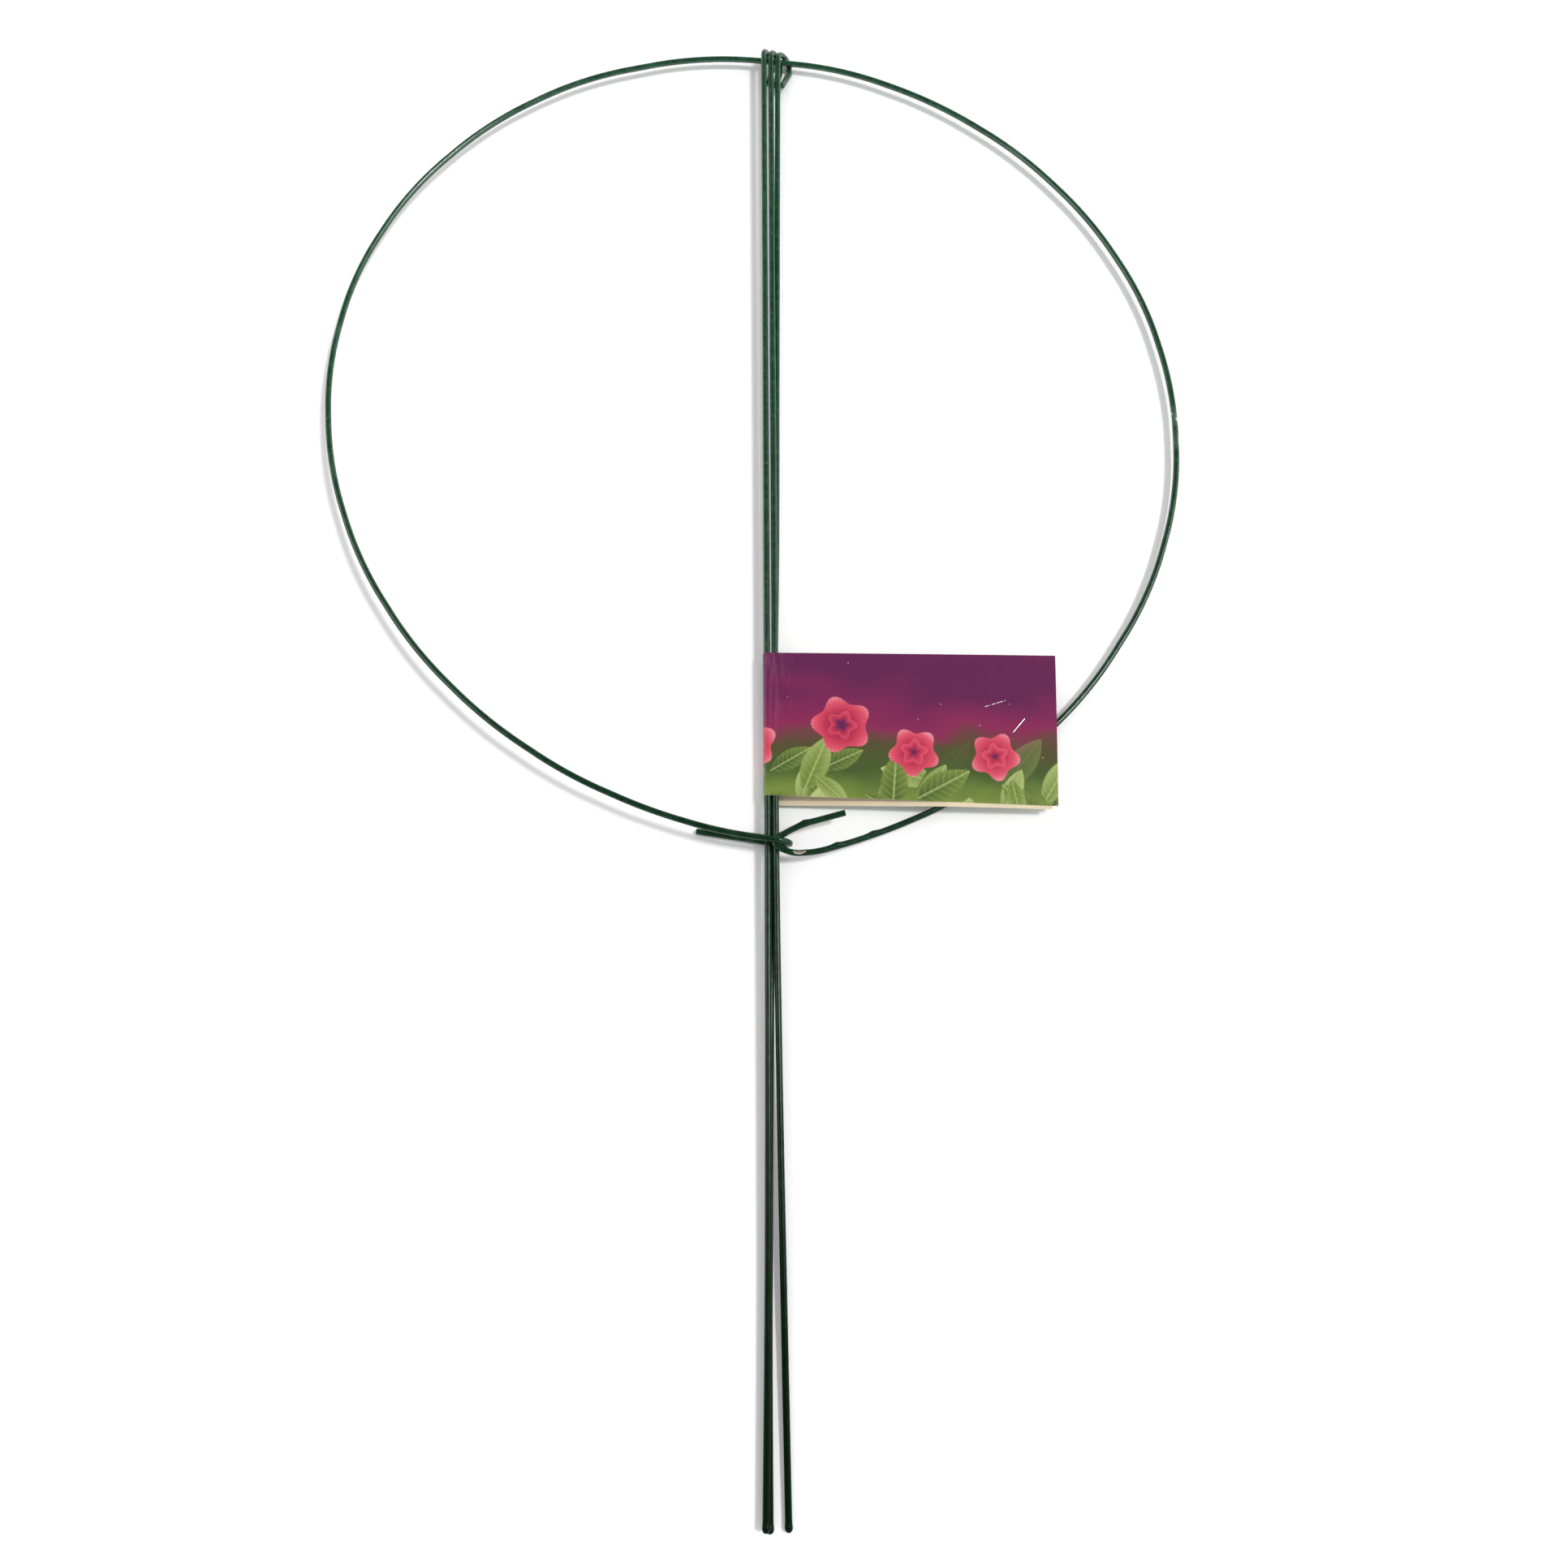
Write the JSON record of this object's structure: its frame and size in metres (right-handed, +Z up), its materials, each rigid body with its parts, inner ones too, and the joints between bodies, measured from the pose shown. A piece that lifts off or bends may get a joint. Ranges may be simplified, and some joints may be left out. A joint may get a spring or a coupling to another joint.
{
  "type": "grow through plant support",
  "caption": "Garden plant support of green coated wire: an open ring whose ends hook together, legs with eyes hanging on it, packed flat in a folded header card.",
  "frame": {"origin": "middle of the ring, on the plane that the packed support lies on", "axes": "+Y along the legs towards their eyes, +Z up from the plane, +X to the side of the header card"},
  "size_m": [0.4578, 0.7781, 0.017],
  "materials": {
    "steel": "drawn wire",
    "coating": "dipped, half gloss",
    "card": "printed and varnished outside, bare inside",
    "staple": "bright"
  },
  "bodies": {
    "ring": {"ring_steel": "steel", "ring_coating": "coating"},
    "leg_left": {"leg_left_steel": "steel", "leg_left_eye_coating": "coating", "leg_left_coating": "coating"},
    "leg_middle": {"leg_middle_steel": "steel", "leg_middle_eye_coating": "coating", "leg_middle_coating": "coating"},
    "leg_right": {"leg_right_steel": "steel", "leg_right_eye_coating": "coating", "leg_right_coating": "coating"},
    "card": {"card": "card", "staple": "staple"}
  },
  "joints": [
    {"name": "leg_left_swing", "type": "hinge", "parent": "ring", "child": "leg_left", "pos_m": [0.0078, 0.22577, 0.0051], "axis": [-0.9929, 0.1189, 0], "range_deg": [0, 90]},
    {"name": "leg_middle_swing", "type": "hinge", "parent": "ring", "child": "leg_middle", "pos_m": [0.012, 0.22527, 0.0051], "axis": [-0.9929, 0.1189, 0], "range_deg": [0, 90]},
    {"name": "leg_right_swing", "type": "hinge", "parent": "ring", "child": "leg_right", "pos_m": [0.0176, 0.2246, 0.0051], "axis": [-0.9929, 0.1189, 0], "range_deg": [0, 90]},
    {"name": "card_slide", "type": "slide", "parent": "leg_left", "child": "card", "axis": [-0.0084, 0.9999, 0.0055], "range_m": [0, 0.345]}
  ],
  "couplings": [
    {"joint": "leg_middle_swing", "follows": "leg_left_swing", "ratio": 1},
    {"joint": "leg_right_swing", "follows": "leg_left_swing", "ratio": 1}
  ]
}
